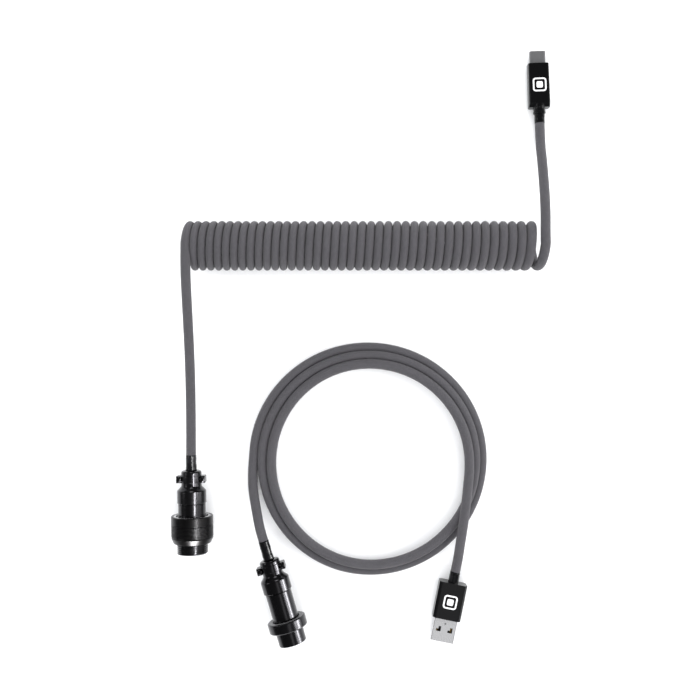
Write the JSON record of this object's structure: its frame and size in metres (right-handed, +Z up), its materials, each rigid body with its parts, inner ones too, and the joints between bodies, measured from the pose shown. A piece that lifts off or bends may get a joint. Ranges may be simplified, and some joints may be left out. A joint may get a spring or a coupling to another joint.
{
  "type": "coiled keyboard cable set",
  "caption": "Two-part braided keyboard cable lying flat: USB-C lead with a long tight coil and threaded round socket, and a ring-wound USB-A lead with the mating screw-on plug.",
  "frame": {"origin": "on the table, below the middle of the box round the four connectors", "axes": "+X along the coil towards the USB-C lead, +Y from the round connectors towards the USB-C plug's mouth, +Z up from the table"},
  "size_m": [0.1944, 0.3056, 0.025],
  "materials": {
    "braided_sleeve": "fine matte paracord braid, mid grey",
    "heat_shrink": "shrunk sleeve, semi-gloss black",
    "inner_jacket": "dull dark jacket",
    "gold_plate": "thin gold plate",
    "bright_steel": "bright drawn steel",
    "badge_inlay": "pale satin inlay",
    "black_plastic": "moulded black plastic",
    "circuit_board": "green solder mask",
    "black_metal": "gloss black plated metal with bright highlights"
  },
  "bodies": {
    "usb_c_end": {"usb_c_shell": "bright_steel", "usb_c_insulator": "black_plastic", "usb_c_contacts_upper": "gold_plate", "usb_c_contacts_lower": "gold_plate", "usb_c_board": "circuit_board", "usb_c_housing": "black_metal", "usb_c_badge": "badge_inlay", "usb_c_collar": "black_metal", "usb_c_heat_shrink": "heat_shrink", "usb_c_core": "inner_jacket", "usb_c_lead": "braided_sleeve", "coil_cord": "braided_sleeve"},
    "socket_end": {"socket_lead": "braided_sleeve", "socket_heat_shrink": "heat_shrink", "socket_core": "inner_jacket", "socket_clamp_bar": "black_metal", "socket_clamp_screw_1": "black_metal", "socket_clamp_screw_2": "black_metal", "socket_backshell": "black_metal", "socket_barrel": "black_metal", "socket_insert": "black_plastic", "socket_pin_1": "gold_plate", "socket_pin_2": "gold_plate", "socket_pin_3": "gold_plate", "socket_pin_4": "gold_plate", "socket_pin_5": "gold_plate"},
    "lock_ring_washer": {"lock_ring_washer": "black_plastic"},
    "lock_ring": {"lock_ring": "black_metal"},
    "usb_a_lead_half": {"ring_coil": "braided_sleeve", "plug_lead": "braided_sleeve", "usb_a_lead": "braided_sleeve", "plug_heat_shrink": "heat_shrink", "plug_core": "inner_jacket", "plug_clamp_bar": "black_metal", "plug_clamp_screw_1": "black_metal", "plug_clamp_screw_2": "black_metal", "plug_backshell": "black_metal", "plug_barrel": "black_metal", "plug_insert": "black_plastic", "plug_contact_1": "gold_plate", "plug_contact_2": "gold_plate", "plug_contact_3": "gold_plate", "plug_contact_4": "gold_plate", "plug_contact_5": "gold_plate", "usb_a_shell": "bright_steel", "usb_a_tongue": "black_plastic", "usb_a_contact_1": "gold_plate", "usb_a_contact_2": "gold_plate", "usb_a_contact_3": "gold_plate", "usb_a_contact_4": "gold_plate", "usb_a_housing": "black_metal", "usb_a_badge": "badge_inlay", "usb_a_boot": "heat_shrink", "usb_a_core": "inner_jacket"},
    "coupling_nut_washer": {"coupling_nut_washer": "black_plastic"},
    "coupling_nut": {"coupling_nut": "black_metal"}
  },
  "joints": [
    {"name": "coil_stretch", "type": "slide", "parent": "usb_c_end", "child": "socket_end", "axis": [-1, 0, 0], "range_m": [0, 0.12], "stiffness_N_per_m": 15, "deforming": ["coil_cord"]},
    {"name": "lock_ring_advance", "type": "slide", "parent": "socket_end", "child": "lock_ring_washer", "axis": [0.0175, -0.9998, 0], "range_m": [0, 0.004]},
    {"name": "lock_ring_spin", "type": "hinge", "parent": "lock_ring_washer", "child": "lock_ring", "pos_m": [-0.0862, -0.09239, 0.01065], "axis": [0.0175, -0.9998, 0], "range_deg": [0, 1440]},
    {"name": "second_half_lift", "type": "slide", "parent": "usb_c_end", "child": "usb_a_lead_half", "axis": [0, 0, 1], "range_m": [0, 0.06]},
    {"name": "coupling_nut_slide", "type": "slide", "parent": "usb_a_lead_half", "child": "coupling_nut_washer", "axis": [-0.279, 0.9603, 0], "range_m": [0, 0.012]},
    {"name": "coupling_nut_spin", "type": "hinge", "parent": "coupling_nut_washer", "child": "coupling_nut", "pos_m": [-0.03785, -0.14076, 0.0099], "axis": [0.279, -0.9603, 0], "continuous": true}
  ],
  "couplings": [
    {"joint": "lock_ring_advance", "follows": "lock_ring_spin", "m_per_rad": 0.00015915}
  ]
}
